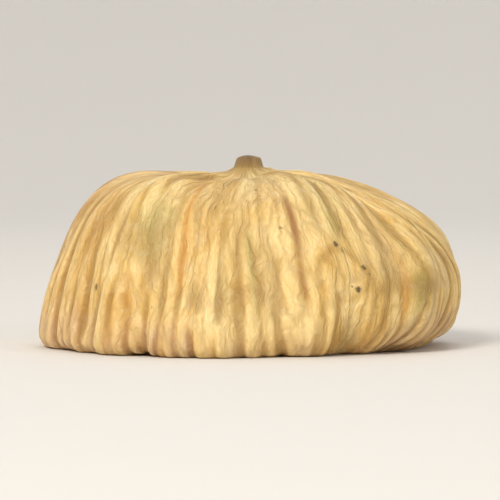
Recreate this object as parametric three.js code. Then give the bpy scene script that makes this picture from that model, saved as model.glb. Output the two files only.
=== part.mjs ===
// A dried fig, pressed along its own axis into a low bun, as one closed solid.
// Millimetres, +Z up. The fruit lies on the flat side that holds its eye, and the stem stub points up.
// +X runs across the fruit to its round end, and the steeper end is at -X.
import * as THREE from 'three';

// Overall size of the fruit
const WIDTH = 46.5;
const DEPTH = 43.5;
const HEIGHT = 21;

// The belly line, where the fruit is widest, lies low: higher at the round end than at the steep one
const BELLY_RADIUS = 23;
const DOME_HEIGHT = 19.2;
const BELLY_HEIGHT = { round: 5, steep: 2.4 };

// Fullness of the quarter curves above and below the belly line: 2 is an ellipse, more is squarer
const DOME_FULLNESS = { round: 2.5, steep: 5 };
const BASE_FULLNESS = { round: 3.2, steep: 4 };

// The roundest meridian lies a little behind +X and the steepest one opposite it, so the front is full
const ROUNDEST_ANGLE = Math.PI / 12;

// Share of its radius that each end loses between the base and the top of the dome
const LEAN = { round: 0.01, steep: 0.19 };

// The base bulges this far below the resting plane before it is pressed flat there
const PRESSED_BULGE = 1;

// The hollow of the base, and the eye in the middle of it
const BASE_HOLLOW = { depth: 0.9, radius: 7 };
const EYE = { depth: 2.2, radius: 1.9 };

// The dip round the neck, the neck that rises from it, and the cut stub of the stem on the neck
const NECK_DIP = { depth: 1.3, radius: 6.5 };
const NECK = { height: 2.2, radius: 3.2 };
const STUB = { height: 0.9, radius: 1.25, edge: 0.4 };

// Folds of the skin from stem to eye: how many go round, and their depth, sway and starting phase
const FOLDS = [
  { count: 5, depth: 0.2, sway: 0.5, start: 0.4 },
  { count: 11, depth: 0.17, sway: 0.9, start: 1.9 },
  { count: 18, depth: 0.16, sway: 1.3, start: 4.1 },
  { count: 23, depth: 0.12, sway: 0.8, start: 2.7 },
];

// Slow swellings of the outline seen from above, as shares of the radius
const SWELLINGS = [
  { count: 2, share: 0.012, start: 0.9 },
  { count: 3, share: 0.016, start: 2.6 },
  { count: 5, share: 0.008, start: 5.2 },
];

// Divisions of the surface round the fruit and from stem to eye
const SIDES = 84;
const ROWS = 52;
const MERIDIAN_STEPS = 240;

// How much closer the rows lie at the stem and at the eye than on the rim: 0 is even, 1 is closed up
const ROW_CROWDING = 0.7;

const FIG = buildFig();

export default FIG;

function buildFig() {
  const fig = new THREE.Group();
  const body = new THREE.Mesh(fruitGeometry(), skinMaterial());
  body.name = 'dried_fig';
  fig.add(body);
  return fig;
}

function skinMaterial() {
  return new THREE.MeshStandardMaterial({ color: 0xe2bb76, roughness: 0.58, metalness: 0 });
}

// A globe whose pole to pole lines are replaced by the fruit's own meridians
function fruitGeometry() {
  const geometry = new THREE.SphereGeometry(1, SIDES, ROWS);
  const position = geometry.attributes.position;
  const uv = geometry.attributes.uv;
  const meridians = [];
  for (let side = 0; side < SIDES; side += 1) {
    meridians.push(meridian((2 * Math.PI * side) / SIDES));
  }
  for (let i = 0; i < position.count; i += 1) {
    const side = THREE.MathUtils.euclideanModulo(Math.round(uv.getX(i) * SIDES), SIDES);
    const row = Math.round((1 - uv.getY(i)) * ROWS);
    const point = skinPoint(meridians[side], (2 * Math.PI * side) / SIDES, row);
    position.setXYZ(i, point.x, point.y, point.z);
  }
  fitToSize(geometry);
  geometry.computeVertexNormals();
  return geometry;
}

// The value at this angle of a measure that differs between the round and the steep end
function between(ends, angle) {
  const steepness = THREE.MathUtils.smootherstep((1 - Math.cos(angle - ROUNDEST_ANGLE)) / 2, 0, 1);
  return THREE.MathUtils.lerp(ends.round, ends.steep, steepness);
}

// A bump that is 1 at the axis and falls off with distance from it
function bump(distance, radius) {
  return Math.exp(-((distance / radius) ** 2));
}

// Points of the outline from stem to eye at this angle, as distance from the axis and height
function meridian(angle) {
  const steps = [];
  for (let step = 0; step <= MERIDIAN_STEPS; step += 1) {
    steps.push(outlinePoint(polarAngle(step / MERIDIAN_STEPS), angle));
  }
  const curve = new THREE.SplineCurve(steps);
  curve.arcLengthDivisions = 4 * MERIDIAN_STEPS;
  const points = [];
  for (let row = 0; row <= ROWS; row += 1) {
    const turn = (2 * Math.PI * row) / ROWS;
    points.push(curve.getPointAt((turn - ROW_CROWDING * Math.sin(turn)) / (2 * Math.PI)));
  }
  return points;
}

// Goes from 0 at the stem to half a turn at the eye, slowly at both, where the outline runs far on a small turn
function polarAngle(share) {
  const upper = share <= 0.5;
  const turn = (Math.PI / 2) * (upper ? 2 * share : 2 - 2 * share) ** 3;
  return upper ? turn : Math.PI - turn;
}

// Two quarter curves that meet at the belly line, with the neck and the eye raised and sunk at the axis
function outlinePoint(polar, angle) {
  const belly = between(BELLY_HEIGHT, angle);
  const upper = polar < Math.PI / 2;
  const power = 2 / between(upper ? DOME_FULLNESS : BASE_FULLNESS, angle);
  const out = Math.sin(polar) ** power;
  const rise = Math.abs(Math.cos(polar)) ** power;
  const reach = upper ? DOME_HEIGHT - belly : -(belly + PRESSED_BULGE);
  const height = belly + reach * rise;
  const lean = 1 - between(LEAN, angle) * Math.max(height / DOME_HEIGHT, 0);
  const radius = BELLY_RADIUS * out * lean;
  return new THREE.Vector2(radius, height + (upper ? neckRise(radius) : baseRise(radius)));
}

function neckRise(radius) {
  const dip = NECK_DIP.depth * bump(radius, NECK_DIP.radius);
  const neck = NECK.height * bump(radius, NECK.radius);
  const edge = THREE.MathUtils.smoothstep(radius, STUB.radius, STUB.radius + STUB.edge);
  return neck - dip + STUB.height * (1 - edge);
}

function baseRise(radius) {
  const hollow = (BASE_HOLLOW.depth + PRESSED_BULGE) * bump(radius, BASE_HOLLOW.radius);
  return hollow + EYE.depth * bump(radius, EYE.radius);
}

// The point of the skin on this row of the outline, raised along its normal by the folds
function skinPoint(outline, angle, row) {
  const before = outline[Math.max(row - 1, 0)];
  const after = outline[Math.min(row + 1, ROWS)];
  const slope = after.clone().sub(before).normalize();
  const fold = foldHeight(angle, row / ROWS) * foldReach(outline[row].x);
  const radius = (outline[row].x - slope.y * fold) * swelling(angle);
  const height = outline[row].y + slope.x * fold;
  return new THREE.Vector3(radius * Math.cos(angle), radius * Math.sin(angle), height);
}

// Folds fade out at the stem stub and at the eye
function foldReach(radius) {
  return THREE.MathUtils.smoothstep(radius, STUB.radius, NECK_DIP.radius);
}

// Sine folds round the fruit, which sway to and fro on their way from stem to eye
function foldHeight(angle, along) {
  let height = 0;
  for (const { count, depth, sway, start } of FOLDS) {
    const bend = sway * Math.sin(2 * Math.PI * along + start);
    height += depth * Math.sin(count * angle + start + bend);
  }
  return height;
}

function swelling(angle) {
  let factor = 1;
  for (const { count, share, start } of SWELLINGS) {
    factor += share * Math.sin(count * angle + start);
  }
  return factor;
}

// Centres the fruit over the origin at its exact size, and presses its base flat on the plane z = 0
function fitToSize(geometry) {
  const position = geometry.attributes.position;
  const box = new THREE.Box3().setFromBufferAttribute(position);
  const centre = box.getCenter(new THREE.Vector3());
  const size = box.getSize(new THREE.Vector3());
  geometry.translate(-centre.x, -centre.y, 0);
  geometry.scale(WIDTH / size.x, DEPTH / size.y, HEIGHT / box.max.z);
  for (let i = 0; i < position.count; i += 1) {
    position.setZ(i, Math.max(position.getZ(i), 0));
  }
}
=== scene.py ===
"""A whole dried fig, pressed along its axis into a low bun, on a pale studio floor.

The fruit lies on its flat side: the stem stub points up and the eye is underneath. The shape is worked out
in millimetres and put into the mesh in metres. +X points to the round end, and -Y to the camera.
"""

from __future__ import annotations

import logging
import math
from dataclasses import dataclass, field

import bpy
import numpy as np
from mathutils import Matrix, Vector


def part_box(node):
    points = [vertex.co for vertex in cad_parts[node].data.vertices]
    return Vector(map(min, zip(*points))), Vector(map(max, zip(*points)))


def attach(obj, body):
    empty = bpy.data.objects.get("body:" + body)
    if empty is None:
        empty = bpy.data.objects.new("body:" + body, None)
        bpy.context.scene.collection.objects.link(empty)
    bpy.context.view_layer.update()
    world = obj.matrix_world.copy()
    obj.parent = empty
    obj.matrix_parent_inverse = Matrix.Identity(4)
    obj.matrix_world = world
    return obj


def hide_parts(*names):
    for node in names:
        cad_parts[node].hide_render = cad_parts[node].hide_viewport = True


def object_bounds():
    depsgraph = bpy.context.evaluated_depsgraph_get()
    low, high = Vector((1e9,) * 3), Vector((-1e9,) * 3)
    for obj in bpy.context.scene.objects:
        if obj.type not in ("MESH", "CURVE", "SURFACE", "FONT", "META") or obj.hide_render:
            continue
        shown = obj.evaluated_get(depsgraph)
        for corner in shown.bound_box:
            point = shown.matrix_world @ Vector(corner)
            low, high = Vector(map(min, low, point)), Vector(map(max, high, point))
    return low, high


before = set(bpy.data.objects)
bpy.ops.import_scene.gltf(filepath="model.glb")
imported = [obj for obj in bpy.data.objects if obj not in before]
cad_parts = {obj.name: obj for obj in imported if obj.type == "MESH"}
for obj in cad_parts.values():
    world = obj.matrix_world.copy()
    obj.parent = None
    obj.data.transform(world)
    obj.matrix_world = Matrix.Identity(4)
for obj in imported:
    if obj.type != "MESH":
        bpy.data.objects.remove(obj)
CAD_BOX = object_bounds()

NODE = "dried_fig"
MM = 0.001

log = logging.getLogger("dried_fig")

Array = np.ndarray


def linear(hex_colour: str) -> tuple[float, float, float, float]:
    """Turns an sRGB hex colour into linear light.

    Args:
        hex_colour: Six hex digits, with or without a leading #.

    Returns:
        Red, green, blue and an alpha of 1.
    """
    digits = hex_colour.lstrip("#")
    shares = [int(digits[i : i + 2], 16) / 255 for i in (0, 2, 4)]
    lit = [s / 12.92 if s <= 0.04045 else ((s + 0.055) / 1.055) ** 2.4 for s in shares]
    return (*lit, 1.0)


def add_node(
    tree: bpy.types.NodeTree,
    kind: str,
    inputs: dict[str | int, object] | None = None,
    **settings: object,
) -> bpy.types.Node:
    """Adds a shader node with its settings, values and links.

    Args:
        tree: The material's node tree.
        kind: The node's type name.
        inputs: Socket name or number to a value, or to the output socket that feeds it.
        settings: Properties of the node itself.

    Returns:
        The new node.
    """
    node = tree.nodes.new(kind)
    for name, value in settings.items():
        setattr(node, name, value)
    for key, value in (inputs or {}).items():
        if isinstance(value, bpy.types.NodeSocket):
            tree.links.new(value, node.inputs[key])
        else:
            node.inputs[key].default_value = value
    return node


def smooth(values: Array, low: float, high: float) -> Array:
    """Rises from 0 at low to 1 at high, by the cubic 3t^2 - 2t^3 of the share t of the way."""
    share = np.clip((values - low) / (high - low), 0, 1)
    return share * share * (3 - 2 * share)


def bump(distance: Array, reach: float) -> Array:
    """The bell exp(-(distance / reach)^2)."""
    return np.exp(-((distance / reach) ** 2))


def turned(angle: Array, centre: float) -> Array:
    """The signed turn in radians from a centre given in degrees, between minus and plus half a turn."""
    return np.mod(angle - math.radians(centre) + math.pi, 2 * math.pi) - math.pi


@dataclass
class SkinGrid:
    """Rows from stem to eye and columns round the fruit, on which patterns in the skin are grown.

    Attributes:
        radius: Each row's mean distance from the axis, in mm.
        arc: Each row's distance from the stem along the skin, in mm.
        columns: How many columns go round.
    """

    radius: Array
    arc: Array
    columns: int

    def blur(self, values: Array, around: float, along: float) -> Array:
        """Blurs by a Gaussian measured on the skin.

        Round the fruit, each row's Fourier terms m are damped by exp(-(m around / radius)^2 / 2). Along the
        meridians, rows are averaged with the weight exp(-(gap / along)^2 / 2).

        Args:
            values: A value for each row and column.
            around: The blur's deviation round the fruit, in mm.
            along: Its deviation from stem to eye, in mm.

        Returns:
            The blurred values.
        """
        terms = np.fft.rfftfreq(self.columns, 1 / self.columns)
        spread = around / np.maximum(self.radius, 0.5)
        damping = np.exp(-0.5 * (terms[None] * spread[:, None]) ** 2)
        rounded = np.fft.irfft(np.fft.rfft(values, axis=1) * damping, self.columns, axis=1)
        gaps = self.arc[:, None] - self.arc[None]
        weights = np.exp(-0.5 * (gaps / along) ** 2) * np.gradient(self.arc)[None]
        return (weights / weights.sum(axis=1, keepdims=True)) @ rounded

    def noise(self, rng: np.random.Generator, around: float, along: float) -> Array:
        """Blurred white noise with a deviation of 1, made of blots of about that size in mm."""
        blots = self.blur(rng.standard_normal((len(self.arc), self.columns)), around, along)
        return blots / blots[self.radius > self.radius.max() / 2].std()

    def ridges(self, rng: np.random.Generator, spacing: float, length: float, rounds: int) -> Array:
        """Ridges along the meridians that keep their spacing, so they branch and merge as the girth changes.

        They grow from noise. Each round keeps what a narrow blur holds and one 1.6 times as wide doesn't,
        which favours waves of the spacing, and levels it with tanh.

        Args:
            rng: The source of the first noise.
            spacing: The distance from ridge to ridge, in mm.
            length: How far one round joins ridges up along the meridian, in mm.
            rounds: How often the step is repeated: more rounds give more even ridges.

        Returns:
            Heights from -1 in a furrow to 1 on a ridge.
        """
        narrow = 0.175 * spacing
        heights = self.noise(rng, narrow, length)
        for _ in range(rounds):
            band = self.blur(heights, narrow, length) - self.blur(heights, 1.6 * narrow, length)
            heights = np.tanh(4 * band)
        return heights / np.abs(heights).max()


@dataclass(frozen=True)
class Fold:
    """One family of broad folds from stem to eye, which the solid has too."""

    count: int
    depth: float
    sway: float
    start: float


@dataclass(frozen=True)
class Mark:
    """A mark on the skin at an angle in degrees and between two heights in mm.

    Attributes:
        angle: Where it stands round the fruit, from +X towards +Y.
        low: The height of its lower end.
        high: The height of its upper end.
        width: Its half width in mm.
        strength: Its share of the full colour or depth.
        taper: How far it fades out past each end, in mm.
    """

    angle: float
    low: float
    high: float
    width: float
    strength: float = 1.0
    taper: float = 1.6

    def cover(self, angle: Array, radius: Array, height: Array) -> Array:
        """How much of the mark lies on each point of the skin.

        It is a bell across the mark's line, times a second bell past each of its ends.

        Args:
            angle: The angle round the fruit of each point.
            radius: Its distance from the axis in mm.
            height: Its height in mm.

        Returns:
            Shares from 0 to the mark's strength.
        """
        across = turned(angle, self.angle) * radius
        beyond = np.maximum(np.maximum(self.low - height, height - self.high), 0)
        return self.strength * bump(across, self.width) * bump(beyond, self.taper)


@dataclass(frozen=True)
class Speck:
    """A small dark spot in the skin.

    Attributes:
        place: Where it lies in the skin's grain, in mm.
        size: Its half width in mm.
        length: How many times longer it is along the meridian.
        strength: Its share of the full colour.
    """

    place: Array
    size: float
    length: float
    strength: float


@dataclass
class FigForm:
    """The fruit's form, in mm, as the solid has it, with the finer relief of its skin.

    Pairs are the values at the round end and at the steep end.
    """

    columns: int = 640
    rows: int = 152
    belly_radius: float = 23
    dome_height: float = 19.2
    belly_height: tuple[float, float] = (5, 2.4)
    dome_fullness: tuple[float, float] = (2.5, 5)
    base_fullness: tuple[float, float] = (3.2, 4)
    roundest_angle: float = math.pi / 12
    lean: tuple[float, float] = (0.01, 0.19)
    pressed_bulge: float = 1
    hollow_depth: float = 0.9
    hollow_radius: float = 7
    eye_depth: float = 2.2
    eye_radius: float = 1.9
    dip_depth: float = 1.3
    dip_radius: float = 6.5
    neck_height: float = 2.2
    neck_radius: float = 3.2
    stub_height: float = 0.9
    stub_radius: float = 1.25
    stub_edge: float = 0.4
    folds: tuple[Fold, ...] = (
        Fold(5, 0.2, 0.5, 0.4),
        Fold(11, 0.17, 0.9, 1.9),
        Fold(18, 0.16, 1.3, 4.1),
        Fold(23, 0.12, 0.8, 2.7),
    )
    swellings: tuple[tuple[int, float, float], ...] = (
        (2, 0.012, 0.9),
        (3, 0.016, 2.6),
        (5, 0.008, 5.2),
    )

    def between(self, ends: tuple[float, float], angle: Array) -> Array:
        """The value at this angle of a measure that differs between the round and the steep end.

        It eases from one to the other by 6t^5 - 15t^4 + 10t^3, where t is (1 - cos(turn)) / 2.

        Args:
            ends: The values at the round end and at the steep end.
            angle: The angle round the fruit.

        Returns:
            The value at each angle.
        """
        share = (1 - np.cos(angle - self.roundest_angle)) / 2
        steepness = share**3 * (share * (6 * share - 15) + 10)
        return ends[0] + (ends[1] - ends[0]) * steepness

    def outline(self, polar: Array, angle: Array) -> tuple[Array, Array]:
        """The smooth outline from the stem at polar angle 0 to the eye at half a turn.

        Two quarter curves meet at the belly line. On each, the radius goes as sin(polar) and the height as
        cos(polar), both to the power 2 / fullness. Bells round the axis add the neck, its dip, the stub,
        the hollow of the base and the eye.

        Args:
            polar: The angle down from the stem.
            angle: The angle round the fruit.

        Returns:
            The distance from the axis and the height, in mm.
        """
        upper = polar < math.pi / 2
        belly = self.between(self.belly_height, angle)
        fullness = np.where(
            upper, self.between(self.dome_fullness, angle), self.between(self.base_fullness, angle)
        )
        out = np.abs(np.sin(polar)) ** (2 / fullness)
        rise = np.abs(np.cos(polar)) ** (2 / fullness)
        height = belly + np.where(upper, self.dome_height - belly, -(belly + self.pressed_bulge)) * rise
        lean = 1 - self.between(self.lean, angle) * np.maximum(height / self.dome_height, 0)
        radius = self.belly_radius * out * lean
        stub = 1 - smooth(radius, self.stub_radius, self.stub_radius + self.stub_edge)
        neck = (
            self.neck_height * bump(radius, self.neck_radius)
            - self.dip_depth * bump(radius, self.dip_radius)
            + self.stub_height * stub
        )
        hollow = (self.hollow_depth + self.pressed_bulge) * bump(radius, self.hollow_radius)
        eye = self.eye_depth * bump(radius, self.eye_radius)
        return radius, height + np.where(upper, neck, hollow + eye)

    def spaced_outline(self, angle: Array) -> tuple[Array, Array]:
        """The outline on this form's rows, one meridian at a time.

        The polar angle rises with the cube of the way from either pole, as the outline runs far there on a
        small turn. Rows are spaced evenly along the skin, but closer on the stub and wider apart under the
        base.

        Args:
            angle: The angle round the fruit of each column.

        Returns:
            The distance from the axis and the height, each with a row for each row of the form.
        """
        share = np.linspace(0, 1, 6 * self.rows + 1)[:, None]
        turn = math.pi / 2 * (1 - np.abs(2 * share - 1)) ** 3
        polar = np.where(share <= 0.5, turn, math.pi - turn)
        radius, height = self.outline(polar, angle[None])
        density = np.where(polar < math.pi / 2, 1 + 2 * bump(radius, 1.5 * self.stub_radius), 0.62)
        steps = np.hypot(np.diff(radius, axis=0), np.diff(height, axis=0)) * density[1:]
        travelled = np.vstack([np.zeros_like(angle), np.cumsum(steps, axis=0)])
        stops = np.linspace(0, 1, self.rows + 1)
        columns = [
            (np.interp(stops, t / t[-1], r), np.interp(stops, t / t[-1], z))
            for t, r, z in zip(travelled.T, radius.T, height.T)
        ]
        spaced = np.array(columns)
        return spaced[:, 0].T, spaced[:, 1].T

    def fold_height(self, angle: Array, along: Array) -> Array:
        """The solid's broad folds: sines round the fruit that sway on their way from stem to eye.

        Args:
            angle: The angle round the fruit.
            along: The share of the way from stem to eye.

        Returns:
            The height of the folds in mm.
        """
        total = np.zeros(np.broadcast_shapes(angle.shape, along.shape))
        for fold in self.folds:
            bend = fold.sway * np.sin(2 * math.pi * along + fold.start)
            total = total + fold.depth * np.sin(fold.count * angle + fold.start + bend)
        return total

    def swelling(self, angle: Array) -> Array:
        """Slow swellings of the outline seen from above, as a factor on the radius."""
        return 1 + sum(share * np.sin(count * angle + start) for count, share, start in self.swellings)


@dataclass(frozen=True)
class FigSkin:
    """Sun-dried fig skin: a thin waxy peel dried onto sticky flesh.

    It gives the eye a satin, slightly see-through cream gold, browner where it is rubbed. Its creases and
    furrows are darkened with painted shade, and its ridge crests lightened with painted highlight.

    Attributes:
        coarse_cells: Cells per mm of the coarser net of creases, about 1.6 mm wide and 7 mm long.
        coarse_width: How far its creases reach into a cell, as a share of the cell.
        fine_cells: Cells per mm of the finer net, about 0.6 mm wide and 1.7 mm long.
        fine_width: How far its creases reach into a cell.
        wander: How strongly soft noise bends the lines of the skin, in mm.
        relief_depth: The depth of the finest relief in mm.
        glow: The share of the light that passes through the skin.
        glow_reach: How far red, green and blue light goes, against each other.
        glow_depth: How deep that is for red, in mm.
    """

    # Also a painted highlight: besides the palest mottling, it is laid on ridge crests and on the front pale
    # patches.
    pale: str = "#FCE09E"
    cream: str = "#EAC272"
    gold: str = "#D3A353"
    olive: str = "#B0A05A"
    tan: str = "#C29878"
    amber: str = "#D4943F"
    rust: str = "#A06B35"
    # Painted shade: this brown is laid into the furrows and into both nets of fine creases.
    crease: str = "#9C7433"
    speck: str = "#4E3A20"
    bloom: str = "#FFF0CC"
    wood: str = "#C4A375"
    wood_grain: str = "#8A6A44"
    eye: str = "#5A3018"
    coarse_cells: tuple[float, float, float] = (0.62, 0.62, 0.14)
    coarse_width: float = 0.16
    fine_cells: tuple[float, float, float] = (1.7, 1.7, 0.6)
    fine_width: float = 0.2
    wander: float = 2.4
    relief_depth: float = 0.11
    glow: float = 0.1
    glow_reach: tuple[float, float, float] = (1.0, 0.45, 0.16)
    glow_depth: float = 0.9

    def build(self, specks: list[Speck]) -> bpy.types.Material:
        """Builds the skin's material from the piece's own attributes.

        Args:
            specks: The dark specks, placed in the skin's grain.

        Returns:
            The finished material.
        """
        material = bpy.data.materials.new("dried_fig_skin")
        material.use_nodes = True
        tree = material.node_tree
        tree.nodes.clear()
        masks = {
            name: add_node(tree, "ShaderNodeAttribute", attribute_name=name).outputs["Fac"]
            for name in ("relief", "pale", "olive", "tan", "amber", "rust", "wood", "eye")
        }
        grain = add_node(tree, "ShaderNodeAttribute", attribute_name="grain").outputs["Vector"]
        wavy = self.wavy(tree, grain)
        coarse = self.network(tree, wavy, self.coarse_cells, self.coarse_width)
        fine = self.network(tree, wavy, self.fine_cells, self.fine_width)
        spots = self.spots(tree, grain, specks)
        colour = self.colour(tree, wavy, masks, coarse, fine, spots)
        height = self.fine_relief(tree, wavy, coarse, fine)
        rough = add_node(
            tree,
            "ShaderNodeTexNoise",
            {"Vector": wavy, "Scale": 0.9, "Detail": 4.0, "Roughness": 0.6},
        )
        gloss = add_node(
            tree,
            "ShaderNodeMapRange",
            {"Value": rough.outputs["Fac"], 1: 0.3, 2: 0.7, 3: 0.4, 4: 0.6},
        )
        relief = add_node(
            tree,
            "ShaderNodeBump",
            {"Strength": 1.0, "Distance": self.relief_depth * MM, "Height": height},
        )
        shader = add_node(
            tree,
            "ShaderNodeBsdfPrincipled",
            {
                "Base Color": colour,
                "Roughness": gloss.outputs["Result"],
                "IOR": 1.45,
                "Subsurface Weight": self.glow,
                "Subsurface Radius": self.glow_reach,
                "Subsurface Scale": self.glow_depth * MM,
                "Normal": relief.outputs["Normal"],
            },
        )
        add_node(tree, "ShaderNodeOutputMaterial", {"Surface": shader.outputs["BSDF"]})
        return material

    def mixed(
        self,
        tree: bpy.types.NodeTree,
        share: bpy.types.NodeSocket,
        under: object,
        over: object,
    ) -> bpy.types.NodeSocket:
        """Lays one colour over another by a share from 0 to 1.

        Args:
            tree: The material's node tree.
            share: How much of the upper colour shows.
            under: The lower colour, or the socket that gives it.
            over: The upper one.

        Returns:
            The socket that gives the combined colour.
        """
        node = add_node(
            tree,
            "ShaderNodeMix",
            {0: share, 6: under, 7: over},
            data_type="RGBA",
            clamp_factor=True,
        )
        return node.outputs[2]

    def wavy(
        self, tree: bpy.types.NodeTree, grain: bpy.types.NodeSocket
    ) -> bpy.types.NodeSocket:
        """Shifts places by up to about 1 mm of soft noise, so that no line of the skin runs straight.

        Args:
            tree: The material's node tree.
            grain: Places on the skin in mm.

        Returns:
            The socket that gives the shifted places.
        """
        drift = add_node(
            tree, "ShaderNodeTexNoise", {"Vector": grain, "Scale": 0.3, "Detail": 3.0, "Roughness": 0.5}
        )
        centred = add_node(
            tree,
            "ShaderNodeVectorMath",
            {0: drift.outputs["Color"], 1: (0.5, 0.5, 0.5)},
            operation="SUBTRACT",
        )
        moved = add_node(
            tree,
            "ShaderNodeVectorMath",
            {0: centred.outputs[0], 1: (self.wander,) * 3, 2: grain},
            operation="MULTIPLY_ADD",
        )
        return moved.outputs[0]

    def network(
        self,
        tree: bpy.types.NodeTree,
        places: bpy.types.NodeSocket,
        scale: tuple[float, float, float],
        width: float,
    ) -> bpy.types.NodeSocket:
        """A net of joined creases: 0 in a crease and 1 on the skin between, from Voronoi cells' edges.

        Args:
            tree: The material's node tree.
            places: Places on the skin in mm.
            scale: Cells per mm in each direction, fewer along z for cells drawn out along the meridians.
            width: How far a crease reaches into a cell, as a share of the cell.

        Returns:
            The socket that gives the height.
        """
        drawn = add_node(tree, "ShaderNodeMapping", {"Vector": places, "Scale": scale})
        cells = add_node(
            tree,
            "ShaderNodeTexVoronoi",
            {"Vector": drawn.outputs["Vector"], "Scale": 1.0},
            feature="DISTANCE_TO_EDGE",
        )
        flank = add_node(
            tree,
            "ShaderNodeMapRange",
            {"Value": cells.outputs["Distance"], 1: 0.0, 2: width},
            interpolation_type="SMOOTHSTEP",
        )
        return flank.outputs["Result"]

    def spots(
        self,
        tree: bpy.types.NodeTree,
        grain: bpy.types.NodeSocket,
        specks: list[Speck],
    ) -> bpy.types.NodeSocket:
        """Adds up the specks, each a small dark spot with an uneven rim.

        Args:
            tree: The material's node tree.
            grain: Places on the skin in mm.
            specks: The specks, placed in the skin's grain.

        Returns:
            The socket that gives their cover from 0 to 1.
        """
        unevenness = 0.5
        rim = add_node(tree, "ShaderNodeTexNoise", {"Vector": grain, "Scale": 3.5, "Detail": 2.0})
        ragged = add_node(
            tree,
            "ShaderNodeVectorMath",
            {0: rim.outputs["Color"], 1: (unevenness,) * 3, 2: grain},
            operation="MULTIPLY_ADD",
        )
        total: object = 0.0
        for speck in specks:
            apart = add_node(
                tree,
                "ShaderNodeVectorMath",
                {0: ragged.outputs[0], 1: tuple(speck.place + unevenness / 2)},
                operation="SUBTRACT",
            )
            drawn = add_node(
                tree,
                "ShaderNodeVectorMath",
                {0: apart.outputs[0], 1: (1.0, 1.0, 1 / speck.length)},
                operation="MULTIPLY",
            )
            away = add_node(
                tree, "ShaderNodeVectorMath", {0: drawn.outputs[0]}, operation="LENGTH"
            )
            cover = add_node(
                tree,
                "ShaderNodeMapRange",
                {"Value": away.outputs["Value"], 1: 0.5 * speck.size, 2: 1.5 * speck.size,
                 3: speck.strength, 4: 0.0},
                interpolation_type="SMOOTHSTEP",
            )
            total = add_node(
                tree, "ShaderNodeMath", {0: cover.outputs["Result"], 1: total}, operation="MAXIMUM"
            ).outputs[0]
        return total

    def colour(
        self,
        tree: bpy.types.NodeTree,
        wavy: bpy.types.NodeSocket,
        masks: dict[str, bpy.types.NodeSocket],
        coarse: bpy.types.NodeSocket,
        fine: bpy.types.NodeSocket,
        spots: bpy.types.NodeSocket,
    ) -> bpy.types.NodeSocket:
        """Builds up the colour, from broad mottling to single specks.

        Args:
            tree: The material's node tree.
            wavy: Places on the skin in mm, shifted by noise.
            masks: Each attribute's socket by name.
            coarse: The coarser net of creases.
            fine: The finer one.
            spots: The cover of the specks.

        Returns:
            The socket that gives the colour.
        """
        drawn = add_node(tree, "ShaderNodeMapping", {"Vector": wavy, "Scale": (0.28, 0.28, 0.11)})
        mottle = add_node(
            tree,
            "ShaderNodeTexNoise",
            {"Vector": drawn.outputs["Vector"], "Scale": 1.0, "Detail": 6.0, "Roughness": 0.62},
        )
        ramp = add_node(tree, "ShaderNodeValToRGB", {"Fac": mottle.outputs["Fac"]})
        stops = ramp.color_ramp.elements
        stops[0].position, stops[0].color = 0.32, linear(self.gold)
        stops[1].position, stops[1].color = 0.66, linear(self.pale)
        middle = stops.new(0.47)
        middle.color = linear(self.cream)
        colour = ramp.outputs["Color"]
        # The pale patches: on the front a painted highlight, elsewhere paler skin.
        colour = self.mixed(tree, masks["pale"], colour, linear(self.pale))
        colour = self.mixed(tree, masks["olive"], colour, linear(self.olive))
        colour = self.mixed(tree, masks["tan"], colour, linear(self.tan))
        dust = add_node(
            tree,
            "ShaderNodeTexNoise",
            {"Vector": wavy, "Scale": 0.7, "Detail": 6.0, "Roughness": 0.7},
        ).outputs["Fac"]
        for value, low, high, share, over in (
            (dust, 0.52, 0.72, 0.35, self.bloom),
            # Painted shade: the crease colour laid into furrows that sit lower than their surroundings.
            (masks["relief"], 0.2, -1.5, 0.6, self.crease),
            # Painted highlight: the pale colour laid on ridge crests that stand above their surroundings.
            (masks["relief"], 0.0, 1.5, 0.5, self.pale),
            # Painted shade: the crease colour laid into both nets of fine creases.
            (coarse, 1.0, 0.0, 0.24, self.crease),
            (fine, 1.0, 0.0, 0.12, self.crease),
        ):
            tint = add_node(tree, "ShaderNodeMapRange", {"Value": value, 1: low, 2: high, 4: share})
            colour = self.mixed(tree, tint.outputs["Result"], colour, linear(over))
        colour = self.mixed(tree, masks["amber"], colour, linear(self.amber))
        colour = self.mixed(tree, masks["rust"], colour, linear(self.rust))
        colour = self.mixed(tree, spots, colour, linear(self.speck))
        colour = self.mixed(tree, masks["eye"], colour, linear(self.eye))
        fibres = add_node(tree, "ShaderNodeMapping", {"Vector": wavy, "Scale": (0.9, 0.9, 0.5)})
        strands = add_node(
            tree,
            "ShaderNodeTexNoise",
            {"Vector": fibres.outputs["Vector"], "Scale": 1.0, "Detail": 5.0, "Roughness": 0.7},
        )
        dark = add_node(
            tree, "ShaderNodeMapRange", {"Value": strands.outputs["Fac"], 1: 0.4, 2: 0.62}
        )
        wood = self.mixed(tree, dark.outputs["Result"], linear(self.wood), linear(self.wood_grain))
        return self.mixed(tree, masks["wood"], colour, wood)

    def fine_relief(
        self,
        tree: bpy.types.NodeTree,
        wavy: bpy.types.NodeSocket,
        coarse: bpy.types.NodeSocket,
        fine: bpy.types.NodeSocket,
    ) -> bpy.types.NodeSocket:
        """Adds up the two nets of creases and a drawn-out fine noise.

        Args:
            tree: The material's node tree.
            wavy: Places on the skin in mm, shifted by noise.
            coarse: The coarser net of creases.
            fine: The finer one.

        Returns:
            The socket that gives the height.
        """
        drawn = add_node(tree, "ShaderNodeMapping", {"Vector": wavy, "Scale": (1.3, 1.3, 0.4)})
        lines = add_node(
            tree,
            "ShaderNodeTexNoise",
            {"Vector": drawn.outputs["Vector"], "Scale": 1.0, "Detail": 6.0, "Roughness": 0.6},
        )
        total = lines.outputs["Fac"]
        for net, depth in ((coarse, 0.7), (fine, 0.3)):
            total = add_node(
                tree, "ShaderNodeMath", {0: net, 1: depth, 2: total}, operation="MULTIPLY_ADD"
            ).outputs[0]
        return total


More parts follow.
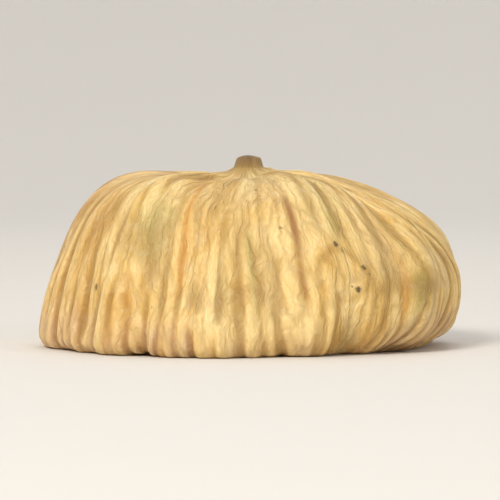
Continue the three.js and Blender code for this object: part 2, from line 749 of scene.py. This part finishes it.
@dataclass
class Fig:
    """The whole fruit as one closed mesh with the marks of its skin as attributes.

    Attributes:
        ring: A round crease about the middle of this mark, which its width gives the radius of.
        ring_reach: Half the width of that crease in mm.
        tinted_relief: The height in mm above or below its surroundings at which a furrow gets its full
            painted shade and a ridge its full painted highlight.
        press_softness: How softly the base goes over into the resting plane, in mm.
    """

    form: FigForm = field(default_factory=FigForm)
    finish: FigSkin = field(default_factory=FigSkin)
    seed: int = 44
    amber_streaks: tuple[Mark, ...] = (
        Mark(-111, 9.0, 18.0, 0.38, 0.75),
        Mark(-110, 8.0, 10.0, 0.8, 0.3),
        Mark(-128, 3.0, 8.0, 0.6, 0.2),
        Mark(-45, 4.0, 13.0, 0.5, 0.4),
        Mark(20, 3.0, 14.0, 0.9, 0.6),
        Mark(75, 4.0, 17.0, 0.6, 0.7),
        Mark(131, 3.0, 16.0, 1.0, 0.6),
        Mark(172, 5.0, 15.0, 0.6, 0.6),
    )
    rust_streaks: tuple[Mark, ...] = (
        Mark(-75.2, 7.5, 16.5, 0.32, 0.6),
        Mark(-75.4, 13.5, 16.0, 0.42, 0.4),
        Mark(34, 5.0, 13.0, 0.35, 0.7),
        Mark(88, 7.0, 15.0, 0.4, 0.6),
        Mark(147, 4.0, 12.0, 0.3, 0.7),
    )
    olive_patches: tuple[Mark, ...] = (
        Mark(-123, 11.5, 15.5, 2.2, 0.8),
        Mark(-96, 3.0, 12.0, 0.7, 0.55),
        Mark(-88, 5.0, 12.0, 0.5, 0.5),
        Mark(-41, 3.0, 8.0, 1.4, 0.6),
        Mark(-63, 14.0, 17.0, 2.0, 0.6),
        Mark(40, 6.0, 12.0, 3.0, 0.7),
        Mark(100, 8.0, 15.0, 2.6, 0.7),
        Mark(150, 10.0, 14.0, 3.0, 0.6),
    )
    # Paler patches: the two on the front at -71 and -86 degrees are a painted highlight, the rest paler
    # skin.
    pale_skin_and_highlight_patches: tuple[Mark, ...] = (
        Mark(-71, 13.0, 19.0, 4.0, 0.6),
        Mark(-86, 3.0, 13.0, 3.0, 0.45),
        Mark(-52, 9.0, 14.0, 2.4, 0.4),
        Mark(62, 6.0, 16.0, 5.0, 0.5),
        Mark(155, 3.0, 12.0, 4.0, 0.5),
    )
    grooves: tuple[Mark, ...] = (
        Mark(-158, 2.0, 16.0, 0.7, 0.8),
        Mark(-22, 2.0, 15.0, 0.6, 0.8),
        Mark(-8, 4.0, 13.0, 0.5, 0.7),
        Mark(52, 2.0, 17.0, 0.8, 0.9),
        Mark(108, 3.0, 16.0, 0.6, 0.8),
        Mark(139, 2.0, 17.0, 0.8, 1.0),
    )
    specks: tuple[tuple[float, float, float, float, float], ...] = (
        (-64.5, 11.8, 0.3, 1.0, 0.85),
        (-62.8, 11.2, 0.12, 1.5, 0.7),
        (-57.5, 9.4, 0.26, 1.2, 0.8),
        (-56.5, 8.7, 0.1, 1.4, 0.6),
        (-60.5, 7.1, 0.32, 1.0, 0.9),
        (-62.5, 7.4, 0.12, 1.0, 0.7),
        (-79, 13.8, 0.22, 1.0, 0.6),
        (-86, 18.0, 0.24, 1.0, 0.6),
        (-84, 17.4, 0.12, 1.0, 0.5),
        (-99, 17.0, 0.16, 2.6, 0.5),
        (-102, 16.4, 0.13, 3.0, 0.45),
        (-141, 7.1, 0.2, 1.7, 0.75),
        (-33, 4.2, 0.12, 1.0, 0.6),
        (-120, 5.2, 0.1, 1.0, 0.6),
        (8, 9.0, 0.2, 1.2, 0.7),
        (29, 6.0, 0.14, 1.0, 0.7),
        (61, 11.5, 0.22, 1.1, 0.8),
        (66, 10.4, 0.12, 1.0, 0.7),
        (95, 5.5, 0.16, 1.4, 0.7),
        (118, 13.0, 0.2, 1.0, 0.7),
        (160, 8.2, 0.18, 1.3, 0.8),
        (-168, 11.0, 0.14, 1.0, 0.7),
    )
    ring: Mark = Mark(-64.5, 8.6, 8.6, 2.7, 0.08)
    ring_reach: float = 0.5
    tinted_relief: float = 0.06
    press_softness: float = 0.25

    def build(self) -> bpy.types.Object:
        """Shapes, dresses and places the fruit.

        Returns:
            The finished object.
        """
        form, rng = self.form, np.random.default_rng(self.seed)
        base_angle = np.linspace(0, 2 * math.pi, form.columns, endpoint=False)
        radius, height = form.spaced_outline(base_angle)
        steps = np.hypot(np.diff(radius.mean(axis=1)), np.diff(height.mean(axis=1)))
        grid = SkinGrid(radius.mean(axis=1), np.concatenate([[0], np.cumsum(steps)]), form.columns)
        along = np.linspace(0, 1, form.rows + 1)[:, None]
        angle = base_angle[None] + self.sway(grid, rng, base_angle[None], height)
        upper = along < np.argmax(grid.radius) / form.rows
        masks = self.masks(grid, rng, base_angle[None], radius, height, upper)
        relief = self.relief(grid, rng, base_angle[None], radius, height, upper, masks)
        lift = relief + form.fold_height(angle, along) * smooth(
            radius, form.stub_radius, form.dip_radius
        )
        points = self.placed(angle, radius, height, lift)
        # Height over the surroundings: the skin's colour turns it into painted shade in furrows and painted
        # highlight on crests.
        around = relief - grid.blur(relief, 0.8, 1.6)
        masks["relief"] = np.clip(around / self.tinted_relief, -1.5, 1.5) * smooth(radius, 1.0, 4.0)
        fruit = self.closed_mesh(self.fitted(points))
        self.write_masks(fruit, masks)
        self.write_grain(fruit, base_angle, grid)
        specks = self.placed_specks(grid, base_angle, height, upper)
        fruit.data.materials.append(self.finish.build(specks))
        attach(fruit, "root")
        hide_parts(NODE)
        return fruit

    def sway(
        self, grid: SkinGrid, rng: np.random.Generator, angle: Array, height: Array
    ) -> Array:
        """How far the grain of the skin turns to either side of straight meridians, in radians.

        Blurred noise bends it everywhere, and a slow sine with height bends it in an S at the round end.

        Args:
            grid: The rows and columns.
            rng: The source of the noise.
            angle: The angle round the fruit.
            height: The height of each point in mm.

        Returns:
            The turn of each point.
        """
        drift = 0.02 * grid.noise(rng, 3.5, 5.0) + 0.006 * grid.noise(rng, 1.6, 2.6)
        end = bump(turned(angle, -18), 0.5)
        curl = 0.13 * end * np.sin(2 * math.pi * (height - 3) / 17)
        calm = smooth(grid.radius, 3.0, 12.0)[:, None]
        return (drift + curl) * calm

    def masks(
        self,
        grid: SkinGrid,
        rng: np.random.Generator,
        angle: Array,
        radius: Array,
        height: Array,
        upper: Array,
    ) -> dict[str, Array]:
        """Where the skin is coloured by more than its mottling.

        Args:
            grid: The rows and columns.
            rng: The source of the noise.
            angle: The angle round the fruit of each point.
            radius: Its distance from the axis in mm.
            height: Its height in mm.
            upper: Whether it lies above the belly line.

        Returns:
            Shares from 0 to 1 by name.
        """
        form = self.form
        skin = smooth(radius, form.stub_radius + 0.6, form.stub_radius + 1.6)
        fleck = grid.noise(rng, 0.5, 1.6)
        patch = grid.noise(rng, 3.0, 5.0)
        totals = {}
        for name, marks in (
            ("amber", self.amber_streaks),
            ("rust", self.rust_streaks),
            ("olive", self.olive_patches),
            ("pale", self.pale_skin_and_highlight_patches),
        ):
            totals[name] = sum(mark.cover(angle, radius, height) for mark in marks)
        below = smooth(1.4 * patch - height, -4.0, 0.5)
        end = bump(turned(angle, 180), 0.42) * upper
        warm = 0.65 * below + 0.6 * end + 0.25 * smooth(patch, 0.8, 2.2)
        wood = (1 - smooth(radius, form.stub_radius - 0.1, form.stub_radius + 0.7)) * upper
        eye = bump(radius, 1.5 * form.eye_radius) * ~upper
        return {
            "amber": np.clip(totals["amber"] * (0.85 + 0.2 * fleck), 0, 1) * skin,
            "rust": np.clip(totals["rust"] * (0.9 + 0.15 * fleck), 0, 1) * skin,
            "olive": np.clip(totals["olive"] * (0.8 + 0.3 * fleck), 0, 0.85) * skin,
            # The pale patches: on the front a painted highlight, elsewhere paler skin.
            "pale": np.clip(totals["pale"], 0, 1) * skin,
            "tan": np.clip(warm * (0.8 + 0.25 * fleck), 0, 0.9) * skin,
            "wood": wood,
            "eye": eye,
        }

    def relief(
        self,
        grid: SkinGrid,
        rng: np.random.Generator,
        angle: Array,
        radius: Array,
        height: Array,
        upper: Array,
        masks: dict[str, Array],
    ) -> Array:
        """The height of the skin's wrinkles over the smooth form, in mm.

        Args:
            grid: The rows and columns.
            rng: The source of the noise.
            angle: The angle round the fruit of each point.
            radius: Its distance from the axis in mm.
            height: Its height in mm.
            upper: Whether it lies above the belly line.
            masks: The coloured marks, some of which lie in a furrow.

        Returns:
            The height of each point.
        """
        taut = bump(turned(angle, -95), 0.5) * smooth(height, 3.0, 7.0)
        edge = smooth(2.6 * grid.noise(rng, 1.8, 2.6) - height, -6.5, -0.5)
        patchy = np.clip(0.8 + 0.5 * grid.noise(rng, 2.6, 3.4), 0.1, 1.7)
        strength = patchy * (1 - 0.45 * taut)
        lumps = 0.24 * grid.noise(rng, 3.0, 3.6) + 0.05 * grid.noise(rng, 1.2, 1.8)
        broad, narrow, fine, puckers = (
            ((grid.ridges(rng, spacing, length, rounds) + 1) / 2) ** 0.6
            for spacing, length, rounds in ((3.6, 2.2, 5), (2.1, 1.2, 5), (1.2, 0.7, 3), (1.5, 0.8, 3))
        )
        pleats = bump(radius - 5.5, 3.4) * upper
        grooves = sum(mark.cover(angle, radius, height) for mark in self.grooves)
        fade = smooth(radius, self.form.stub_radius + 0.2, self.form.stub_radius + 2.2)
        wrinkles = (
            0.24 * broad * strength
            + 0.28 * narrow * strength
            + 0.08 * fine * strength
            + 0.26 * puckers * edge
            + 0.4 * narrow * pleats
            - 0.4 * grooves
            - 0.08 * masks["amber"]
            - 0.2 * masks["rust"]
            - self.ring_depth(angle, radius, height, upper)
            + lumps
            - 0.35
        )
        splits = 0.13 * grid.noise(rng, 0.3, 0.35) * (1 - fade) * upper
        return wrinkles * fade + splits

    def ring_depth(self, angle: Array, radius: Array, height: Array, upper: Array) -> Array:
        """A shallow round crease, where the skin has shrunk on to a hard spot in the flesh.

        Args:
            angle: The angle round the fruit of each point.
            radius: Its distance from the axis in mm.
            height: Its height in mm.
            upper: Whether it lies above the belly line.

        Returns:
            The depth of the crease in mm.
        """
        ring = self.ring
        apart = np.hypot(turned(angle, ring.angle) * radius, height - ring.low)
        return ring.strength * bump(apart - ring.width, self.ring_reach) * upper

    def placed_specks(
        self, grid: SkinGrid, base_angle: Array, height: Array, upper: Array
    ) -> list[Speck]:
        """Finds each speck's place in the skin's grain from its angle and height.

        Args:
            grid: The rows and columns.
            base_angle: The angle of each column; not used.
            height: The height of each point in mm.
            upper: Whether a row lies above the belly line.

        Returns:
            The specks, placed.
        """
        rows = int(upper.sum())
        found = []
        for angle, level, size, length, strength in self.specks:
            turn = math.radians(angle)
            column = int(round(turn / (2 * math.pi) * self.form.columns)) % self.form.columns
            arc = np.interp(-level, -height[:rows, column], grid.arc[:rows])
            girth = self.form.belly_radius
            place = np.array([girth * math.cos(turn), girth * math.sin(turn), arc])
            found.append(Speck(place, size, length, strength))
        return found

    def placed(self, angle: Array, radius: Array, height: Array, lift: Array) -> Array:
        """Raises each point of the outline along its normal, and presses the base flat.

        The base is pressed by the curve (z + sqrt(z^2 + e^2)) / 2, which is close to z above the resting
        plane and close to 0 below it.

        Args:
            angle: The angle round the fruit.
            radius: The distance from the axis in mm.
            height: The height in mm.
            lift: How far to raise the point in mm.

        Returns:
            Points by row and column, in mm.
        """
        out, up = np.gradient(radius, axis=0), np.gradient(height, axis=0)
        size = np.maximum(np.hypot(out, up), 1e-9)
        raised = (radius - up / size * lift) * self.form.swelling(angle)
        level = height + out / size * lift
        pressed = (level + np.sqrt(level**2 + self.press_softness**2)) / 2
        return np.stack([raised * np.cos(angle), raised * np.sin(angle), pressed], axis=-1)

    def fitted(self, points: Array) -> Array:
        """Centres and sizes the points to the solid's own box, and turns them into metres.

        Args:
            points: Points by row and column, in mm.

        Returns:
            The same points in metres.
        """
        low, high = (np.array(corner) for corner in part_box(NODE))
        least, most = points.min(axis=(0, 1)), points.max(axis=(0, 1))
        return low + (points - least) * (high - low) / (most - least)

    def closed_mesh(self, points: Array) -> bpy.types.Object:
        """Makes one closed mesh: quads between the rows, and a fan of triangles to each pole.

        Args:
            points: Places by row and column, where the first and last rows are one point each.

        Returns:
            The new object, shaded smooth.
        """
        rows, columns = points.shape[0] - 2, points.shape[1]
        vertices = np.vstack([points[0, :1], points[1:-1].reshape(-1, 3), points[-1, :1]])
        here = np.arange(columns)
        after = (here + 1) % columns
        first = 1 + columns * np.arange(rows - 1)[:, None]
        quads = np.stack(
            [first + here, first + columns + here, first + columns + after, first + after], axis=-1
        ).reshape(-1, 4)
        last = len(vertices) - 1
        top = np.stack([np.zeros_like(here), 1 + here, 1 + after], axis=-1)
        foot = last - columns
        bottom = np.stack([np.full_like(here, last), foot + after, foot + here], axis=-1)
        mesh = bpy.data.meshes.new("fig_fruit")
        mesh.from_pydata(vertices.tolist(), [], top.tolist() + quads.tolist() + bottom.tolist())
        mesh.shade_smooth()
        fruit = bpy.data.objects.new("fig_fruit", mesh)
        bpy.context.scene.collection.objects.link(fruit)
        return fruit

    def write_masks(self, fruit: bpy.types.Object, masks: dict[str, Array]) -> None:
        """Stores each mask on the mesh's vertices.

        Args:
            fruit: The object to write on.
            masks: A value for each row and column, by name.
        """
        for name, values in masks.items():
            full = np.broadcast_to(values, (self.form.rows + 1, self.form.columns))
            flat = np.concatenate([full[0, :1], full[1:-1].ravel(), full[-1, :1]])
            layer = fruit.data.attributes.new(name, "FLOAT", "POINT")
            layer.data.foreach_set("value", flat.astype(np.float32))

    def write_grain(self, fruit: bpy.types.Object, angle: Array, grid: SkinGrid) -> None:
        """Stores places on an upright cylinder, in mm, so that patterns have no seam.

        The cylinder has the belly's girth, and its height is the distance along the skin from the stem.

        Args:
            fruit: The object to write on.
            angle: The angle of each column.
            grid: The rows and columns.
        """
        size = self.form.belly_radius
        rings = np.ones((len(grid.arc), 1))
        places = np.stack(
            [
                rings * size * np.cos(angle),
                rings * size * np.sin(angle),
                grid.arc[:, None] * np.ones_like(angle),
            ],
            axis=-1,
        )
        flat = np.vstack([places[0, :1], places[1:-1].reshape(-1, 3), places[-1, :1]])
        layer = fruit.data.attributes.new("grain", "FLOAT_VECTOR", "POINT")
        layer.data.foreach_set("vector", flat.astype(np.float32).ravel())


@dataclass(frozen=True)
class Lamp:
    """A square soft light that faces the fruit.

    Attributes:
        name: What it is called.
        place: Where it stands, in metres.
        size: Its side in metres.
        power: Its power in watts.
        colour: Its colour as sRGB hex.
    """

    name: str
    place: tuple[float, float, float]
    size: float
    power: float
    colour: str


@dataclass
class Studio:
    """A pale floor that curves up all round into its own backdrop, soft lights and the camera."""

    floor_radius: float = 0.4
    bend_radius: float = 0.65
    wall_height: float = 0.6
    lens: float = 250
    fill_of_frame: float = 0.84
    elevation: float = 2.5
    floor_colour: str = "#E9E6E1"
    floor_sides: int = 96
    bend_steps: int = 25
    air_colour: str = "#F3F4F6"
    air_strength: float = 0.52
    lamps: tuple[Lamp, ...] = (
        Lamp("key", (-0.3, -0.5, 0.5), 0.24, 3.4, "#FFF8EE"),
        Lamp("fill", (0.5, -0.45, 0.35), 0.4, 0.6, "#F2F6FF"),
        Lamp("top", (0.1, 0.3, 0.7), 0.5, 1.4, "#FFFFFF"),
    )
    lit_place: tuple[float, float, float] = (0, 0, 0.01)

    def build(self) -> None:
        """Builds the floor, the lights and the camera."""
        self.build_floor()
        for lamp in self.lamps:
            self.add_light(lamp)
        world = bpy.data.worlds.new("studio_air")
        world.use_nodes = True
        background = world.node_tree.nodes["Background"]
        background.inputs["Color"].default_value = linear(self.air_colour)
        background.inputs["Strength"].default_value = self.air_strength
        scene = bpy.context.scene
        scene.world = world
        scene.view_settings.view_transform = "Standard"
        self.add_camera()

    def build_floor(self) -> None:
        """Turns a profile about the axis: flat, then a quarter circle, then an upright wall."""
        turn = np.linspace(0, math.pi / 2, self.bend_steps)
        wall_radius = self.floor_radius + self.bend_radius
        bend = self.floor_radius + self.bend_radius * np.sin(turn)
        radius = np.concatenate([[0], bend, [wall_radius]])
        height = np.concatenate(
            [[0], self.bend_radius * (1 - np.cos(turn)), [self.bend_radius + self.wall_height]]
        )
        angle = np.linspace(0, 2 * math.pi, self.floor_sides, endpoint=False)
        rings = np.stack(
            [
                radius[1:, None] * np.cos(angle),
                radius[1:, None] * np.sin(angle),
                height[1:, None] * np.ones_like(angle),
            ],
            axis=-1,
        ).reshape(-1, 3)
        vertices = np.vstack([[0, 0, 0], rings])
        sides = len(angle)
        here = np.arange(sides)
        after = (here + 1) % sides
        first = 1 + sides * np.arange(len(radius) - 2)[:, None]
        quads = np.stack(
            [first + here, first + sides + here, first + sides + after, first + after], axis=-1
        ).reshape(-1, 4)
        middle = np.stack([np.zeros_like(here), 1 + here, 1 + after], axis=-1)
        mesh = bpy.data.meshes.new("studio_floor")
        mesh.from_pydata(vertices.tolist(), [], middle.tolist() + quads.tolist())
        mesh.shade_smooth()
        floor = bpy.data.objects.new("studio_floor", mesh)
        bpy.context.scene.collection.objects.link(floor)
        paper = bpy.data.materials.new("matt_backdrop_paper")
        paper.use_nodes = True
        shader = paper.node_tree.nodes["Principled BSDF"]
        shader.inputs["Base Color"].default_value = linear(self.floor_colour)
        shader.inputs["Roughness"].default_value = 0.85
        mesh.materials.append(paper)

    def add_light(self, lamp: Lamp) -> None:
        """Adds one lamp, turned to the fruit.

        Args:
            lamp: Where it stands and what light it gives.
        """
        data = bpy.data.lights.new(lamp.name, "AREA")
        data.size = lamp.size
        data.energy = lamp.power
        data.color = linear(lamp.colour)[:3]
        light = bpy.data.objects.new(lamp.name, data)
        light.location = lamp.place
        facing = Vector(self.lit_place) - Vector(lamp.place)
        light.rotation_euler = facing.to_track_quat("-Z", "Y").to_euler()
        bpy.context.scene.collection.objects.link(light)

    def add_camera(self) -> None:
        """Adds the camera, square to the rim on the -Y side, so far off that the width fills its share."""
        low, high = CAD_BOX
        centre = (low + high) / 2
        data = bpy.data.cameras.new("camera")
        data.lens = self.lens
        half_view = math.atan(data.sensor_width / 2 / data.lens)
        distance = (high.x - low.x) / self.fill_of_frame / 2 / math.tan(half_view)
        tilt = math.radians(self.elevation)
        camera = bpy.data.objects.new("camera", data)
        camera.location = centre + distance * Vector((0, -math.cos(tilt), math.sin(tilt)))
        camera.rotation_euler = (centre - camera.location).to_track_quat("-Z", "Y").to_euler()
        data.clip_start = 0.01
        bpy.context.scene.collection.objects.link(camera)
        bpy.context.scene.camera = camera


def main() -> None:
    """Builds the fruit and its studio."""
    logging.basicConfig(level=logging.INFO, format="%(name)s: %(message)s")
    fruit = Fig().build()
    log.info("%s: %d faces", fruit.name, len(fruit.data.polygons))
    Studio().build()
    log.info("studio: floor, lights and camera")


if __name__ == "__main__":
    main()
